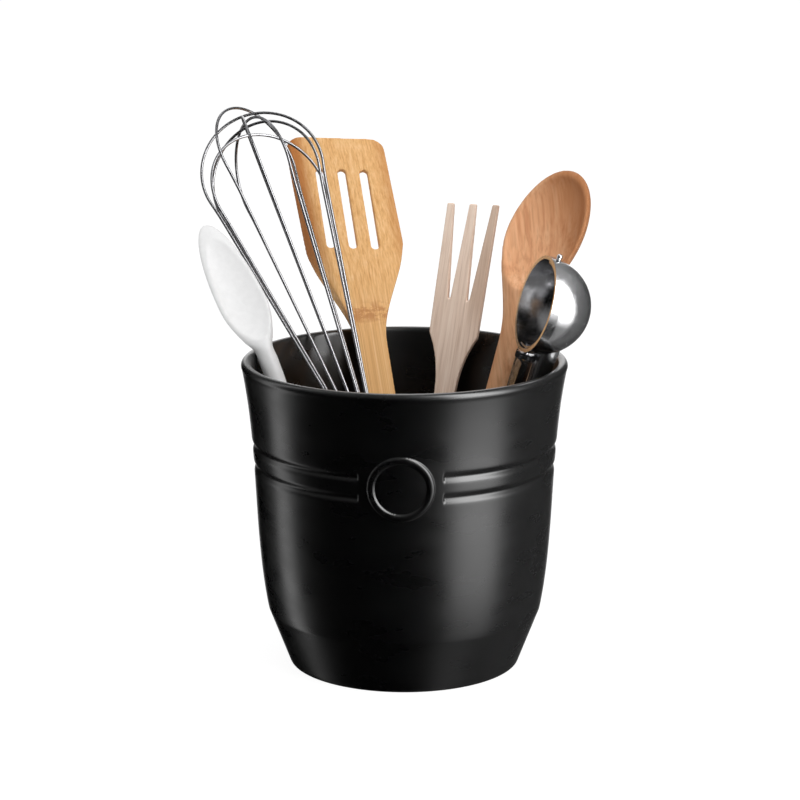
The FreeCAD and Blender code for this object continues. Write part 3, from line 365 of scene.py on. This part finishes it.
def beech():
    """Pale pinkish beech, with painted shade darkening the right-hand tine."""
    tones = [(0.74, 0.55, 0.43), (0.90, 0.71, 0.58), (0.96, 0.79, 0.66)]
    mat, shader, place, colour = wood("pale_beech", "fork", tones, 1.4, 60.0, flecks=0.4)
    across, _, up = split(mat, place)
    # Painted shade: the right-hand tine darkened, as a turned tine that falls in shade.
    right_tine_shade = times(mat, soft_step(mat, across, 0.004, 0.0075), soft_step(mat, up, 0.140, 0.166))
    colour = mixed(mat, "MIX", times(mat, right_tine_shade, 0.5), colour, (0.42, 0.27, 0.18))
    link(mat, colour, shader.inputs["Base Color"])
    return mat


def golden():
    """Warm wood with slanting grain, redder towards the top right of the bowl."""
    tones = [(0.60, 0.27, 0.13), (0.76, 0.40, 0.21), (0.85, 0.51, 0.30)]
    grain = {"width": 2.6, "length": 70.0, "turn": 24.0, "flecks": 0.45}
    mat, shader, place, colour = wood("brown_wood", "wooden_spoon", tones, **grain)
    across, _, up = split(mat, place)
    lean = calc(mat, "ADD", times(mat, across, 1.3), calc(mat, "SUBTRACT", up, 0.2))
    red = soft_step(mat, lean, -0.012, 0.036)
    colour = mixed(mat, "MIX", times(mat, red, 0.75), colour, (0.38, 0.14, 0.045))
    link(mat, colour, shader.inputs["Base Color"])
    return mat


def dress(name, mat):
    """Shades a CAD node smoothly up to its sharp edges, with its material."""
    node = nodes[name]
    node.data.materials.clear()
    node.data.materials.append(mat)
    smooth(node.data)
    weld = node.modifiers.new("weld", "WELD")
    weld.merge_threshold = 1e-6
    if name in SANDED:
        voxel, rounds = SANDED[name]
        remesh = node.modifiers.new("even mesh", "REMESH")
        remesh.mode = "VOXEL"
        remesh.voxel_size = voxel * MM
        remesh.use_smooth_shade = True
        sand = node.modifiers.new("sanded edges", "SMOOTH")
        sand.factor = 0.5
        sand.iterations = rounds
        return
    part = node.modifiers.new("sharp edges", "EDGE_SPLIT")
    part.split_angle = math.radians(SHARP_ANGLE)


def dress_all():
    chrome = steel("chrome", (0.7, 0.7, 0.71), 0.2)
    wire = steel("wire_steel", (0.3, 0.3, 0.31), 0.3)
    tube = steel("handle_steel", (0.6, 0.6, 0.61), 0.3)
    spring = steel("spring_steel", (0.5, 0.5, 0.52), 0.2)
    plug, _ = material("plug_plastic", (0.02, 0.02, 0.02), 0.5)
    looks = {
        "crock_body": black_glaze(),
        "white_spoon": white_plastic(),
        "turner": bamboo(),
        "fork": beech(),
        "wooden_spoon": golden(),
        "whisk_handle": tube,
        "whisk_end_cap": tube,
        "whisk_plug": plug,
        "lever_spring": spring,
        "sweeper_blade": spring,
        "sweeper_pinion": spring,
    }
    for name in nodes:
        dress(name, looks.get(name, wire if name.startswith("whisk_wire") else chrome))
    build_crock(looks["crock_body"])
    build_spring()


def build_spring():
    """The hairpin spring as a mesh of its own, copied from its CAD node with the placement baked in;
    on the object one leg rests on the handle and the lever presses the other.
    """
    node = nodes["lever_spring"]
    spring = shown("hairpin_spring", node.data.copy())
    spring.matrix_world = node.matrix_world
    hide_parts("lever_spring")
    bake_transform(spring)


def wall_curve(inside):
    """The crock's wall radius by height, from the CAD mesh's own rings, in millimetres."""
    mesh = nodes["crock_body"].data
    spots = np.empty(len(mesh.vertices) * 3)
    mesh.vertices.foreach_get("co", spots)
    spots = spots.reshape(-1, 3) / MM
    r, z = np.hypot(spots[:, 0], spots[:, 1]), spots[:, 2]
    lean = (NECK[0] - BELT[0]) / (NECK[1] - BELT[1])
    depth = BELT[0] + (z - BELT[1]) * lean - r
    level = (z > BELT[1] - 0.01) & (z < LIP_CENTRE[1] + 1.0)
    low, high = INNER_DEPTH if inside else OUTER_DEPTH
    wall = (depth > low) & (depth < high)
    turn = np.degrees(np.arctan2(spots[:, 1], spots[:, 0]))
    plain = np.abs((turn - MEDALLION_ANGLE + 180) % 360 - 180) > PLAIN_ANGLE
    clear = np.all([np.abs(z - g) > GROOVE_CLEAR for g in GROOVES], axis=0)
    keep = level & wall & plain & (clear | inside)
    return np.polynomial.Polynomial.fit(z[keep], r[keep], 4)


def arc_points(centre, radius, start, end, steps):
    angles = np.radians(np.linspace(start, end, steps))
    return [(centre[0] + radius * math.cos(a), centre[1] + radius * math.sin(a)) for a in angles]


def crock_profile():
    """The crock's section from the middle of its foot, up the outside and down to its floor."""
    outer, inner = wall_curve(False), wall_curve(True)
    lean = math.degrees(math.atan2(BELT[1], BELT[0] - FOOT_RADIUS))
    foot = arc_points((FOOT_RADIUS - FOOT_SETBACK, FOOT_ROUND), FOOT_ROUND, -90, lean - 90, 6)
    cone_foot = np.array(foot[-1])
    cone_rise = np.array((BELT[0] - 0.45, BELT[1] - 1.2)) - cone_foot
    cone = [tuple(cone_foot + cone_rise * t) for t in np.linspace(0.06, 1, 16)]
    belt = [(BELT[0] - 0.15, BELT[1] - 0.45), (BELT[0] + 0.02, BELT[1] + 0.45)]
    lip_foot = LIP_CENTRE[1] - LIP_RADIUS * math.sin(math.radians(LIP_FLARE))
    ends = (BELT[1] + 1.4, *FINE_BAND, lip_foot - 0.3)
    spans = zip(ends[:-1], ends[1:], ROW_STEPS)
    heights = np.concatenate([np.arange(low, high, step) for low, high, step in spans])
    wall = [(outer(z), z) for z in heights]
    lip = arc_points(LIP_CENTRE, LIP_RADIUS, -LIP_FLARE, 180 - LIP_FLARE, 22)
    inside = [(inner(z), z) for z in np.arange(LIP_CENTRE[1] - 0.2, INNER_BELT[1], -1.5)]
    slope = math.degrees(math.atan2(INNER_BELT[1] - FLOOR_EDGE[1], INNER_BELT[0] - FLOOR_EDGE[0]))
    centre = (FLOOR_EDGE[0] - FLOOR_SETBACK, FLOOR_EDGE[1] + FLOOR_ROUND)
    corner = arc_points(centre, FLOOR_ROUND, slope - 90, -90, 8)
    bottom = [(r, 0.0) for r in MIDDLE_RADII]
    floor = [(r, FLOOR_EDGE[1]) for r in reversed(MIDDLE_RADII)]
    return np.array(bottom + foot + cone + belt + wall + lip + inside + corner + floor)


def relief(turn, r, z):
    """How far the wall stands out: the medallion's bead, less the grooves that stop beside it."""
    off = np.radians((turn - MEDALLION_ANGLE + 180) % 360 - 180)
    front = np.abs(off) < math.pi / 3
    reach = np.hypot(r * np.sin(off), z - MEDALLION_HEIGHT)
    share = np.clip(np.abs(reach - BEAD_RADIUS) / BEAD_HALF, 0, 1)
    bead = np.where(front, BEAD_PROUD * np.sqrt(1 - share**2), 0)
    start = np.clip((np.abs(off) * r - GROOVE_STOP) / GROOVE_FADE, 0, 1)
    cut = sum(np.exp(-(((z - g) / GROOVE_WIDTH) ** 2)) for g in GROOVES)
    return bead - GROOVE_DEPTH * cut * start * start * (3 - 2 * start)


def build_crock(glaze):
    """The glazed pot as one fine turned skin, with its grooves and medallion."""
    profile = crock_profile()
    r, z = profile[:, :1], profile[:, 1:]
    near = np.arange(-FINE_ANGLE, FINE_ANGLE, FINE_ANGLE_STEP)
    far = np.linspace(FINE_ANGLE, 360 - FINE_ANGLE, COARSE_COLUMNS, endpoint=False)
    turn = MEDALLION_ANGLE + np.concatenate([near, far])[None, :]
    rows, columns = len(profile), turn.shape[1]
    lip_row = int(np.argmax(profile[:, 1]))
    low, high = RELIEF_BAND
    outside = (np.arange(rows)[:, None] < lip_row) & (z > low) & (z < high)
    radius = r + np.where(outside, relief(turn, r, z), 0)
    angle = np.radians(turn)
    spots = np.stack([radius * np.cos(angle), radius * np.sin(angle), z + 0 * angle], axis=-1) * MM
    spots = spots.reshape(-1, 3).tolist()
    grid = np.arange(rows * columns).reshape(rows, columns)
    beside = np.roll(grid, -1, axis=1)
    quads = np.stack([grid[:-1], beside[:-1], beside[1:], grid[1:]], axis=-1)
    faces = quads.reshape(-1, 4).tolist()
    faces += [grid[0][::-1].tolist(), grid[-1].tolist()]
    mesh = bpy.data.meshes.new("glazed_crock")
    mesh.from_pydata(spots, [], faces)
    smooth(mesh)
    mesh.materials.append(glaze)
    crock = shown("glazed_crock", mesh)
    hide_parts("crock_body")
    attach(crock, "crock")


def build_world():
    """White to the camera and in reflections, and a lower level as light."""
    world = bpy.data.worlds.new("studio")
    bpy.context.scene.world = world
    world.use_nodes = True
    background = world.node_tree.nodes["Background"]
    background.inputs["Color"].default_value = (1.0, 1.0, 1.0, 1.0)
    path = add(world, "ShaderNodeLightPath")
    seen = path.outputs["Is Camera Ray"]
    for kind in ("Is Glossy Ray", "Is Transmission Ray"):
        seen = calc(world, "MAXIMUM", seen, path.outputs[kind])
    level = add(world, "ShaderNodeMapRange", To_Min=WORLD_LIGHT, To_Max=1.0)
    link(world, seen, level.inputs["Value"])
    link(world, level.outputs["Result"], background.inputs["Strength"])


def build_floor():
    """A floor that the camera sees as white, with a faint shadow under the object."""
    half = FLOOR_SIZE / 2
    mesh = bpy.data.meshes.new("floor")
    corners = [(-half, -half, 0), (half, -half, 0), (half, half, 0), (-half, half, 0)]
    mesh.from_pydata(corners, [], [(0, 1, 2, 3)])
    floor = shown("floor", mesh)
    mat, shader = material("floor", FLOOR_COLOUR, 0.9)
    shader.inputs["Specular IOR Level"].default_value = 0.0
    shader.inputs["Emission Color"].default_value = (1.0, 1.0, 1.0, 1.0)
    seen = add(mat, "ShaderNodeLightPath").outputs["Is Camera Ray"]
    link(mat, times(mat, seen, FLOOR_GLOW), shader.inputs["Emission Strength"])
    pale = mixed(mat, "MIX", seen, FLOOR_COLOUR, FLOOR_SEEN)
    link(mat, pale, shader.inputs["Base Color"])
    mat.cycles.emission_sampling = "NONE"
    mesh.materials.append(mat)
    floor.visible_glossy = False


def soft_box(mat, azimuth, elevation, middle, half, edge, low, fade, high, strength):
    """A softbox on the dome, in degrees: its light, fading out over its edges."""
    off = calc(mat, "ABSOLUTE", calc(mat, "SUBTRACT", azimuth, middle))
    across = soft_step(mat, off, half + edge, half)
    above = soft_step(mat, elevation, low - fade, low)
    below = soft_step(mat, elevation, high + BOX_TOP_FADE, high)
    return times(mat, times(mat, across, times(mat, above, below)), strength)


def build_dome():
    """What shines in the glaze and the steel: a dark studio with softboxes and a pale ceiling."""
    shape = bmesh.new()
    bmesh.ops.create_uvsphere(shape, u_segments=64, v_segments=32, radius=DOME_RADIUS)
    mesh = bpy.data.meshes.new("dome")
    shape.to_mesh(mesh)
    shape.free()
    dome = shown("dome", mesh)
    dome.location = (0.0, 0.0, DOME_HEIGHT)
    mat, shader = material("dome", (0.0, 0.0, 0.0), 1.0)
    shader.inputs["Specular IOR Level"].default_value = 0.0
    shader.inputs["Emission Color"].default_value = (1.0, 1.0, 1.0, 1.0)
    x, y, z = split(mat, object_place(mat))
    azimuth = calc(mat, "DEGREES", calc(mat, "ARCTAN2", x, times(mat, y, -1.0)))
    elevation = calc(mat, "DEGREES", calc(mat, "ARCSINE", calc(mat, "DIVIDE", z, DOME_RADIUS)))
    light = times(mat, soft_step(mat, elevation, 0.0, CEILING_FULL), CEILING)
    for box in SOFT_BOXES:
        light = calc(mat, "ADD", light, soft_box(mat, azimuth, elevation, *box))
    link(mat, light, shader.inputs["Emission Strength"])
    mat.cycles.emission_sampling = "NONE"
    mesh.materials.append(mat)
    for ray in ("camera", "diffuse", "transmission", "volume_scatter", "shadow"):
        setattr(dome, "visible_" + ray, False)


def lamp(name, place, aim, size, power):
    light = bpy.data.lights.new(name, "AREA")
    light.shape = "RECTANGLE"
    light.size, light.size_y = size
    light.energy = power
    holder = shown(name, light)
    holder.location = place
    direction = Vector(aim) - Vector(place)
    holder.rotation_euler = direction.to_track_quat("-Z", "Y").to_euler()
    holder.visible_glossy = False


def build_camera():
    lens = bpy.data.cameras.new("camera")
    lens.lens = CAMERA_LENS
    lens.sensor_width = 36.0
    lens.clip_start = 0.01
    camera = shown("camera", lens)
    camera.location = CAMERA_PLACE
    camera.rotation_euler = (math.radians(90.0 - CAMERA_PITCH), 0, 0)
    bpy.context.scene.camera = camera


bpy.context.scene.view_settings.view_transform = "Standard"
dress_all()
build_world()
build_floor()
build_dome()
for name, setting in LAMPS.items():
    lamp(name, *setting)
build_camera()
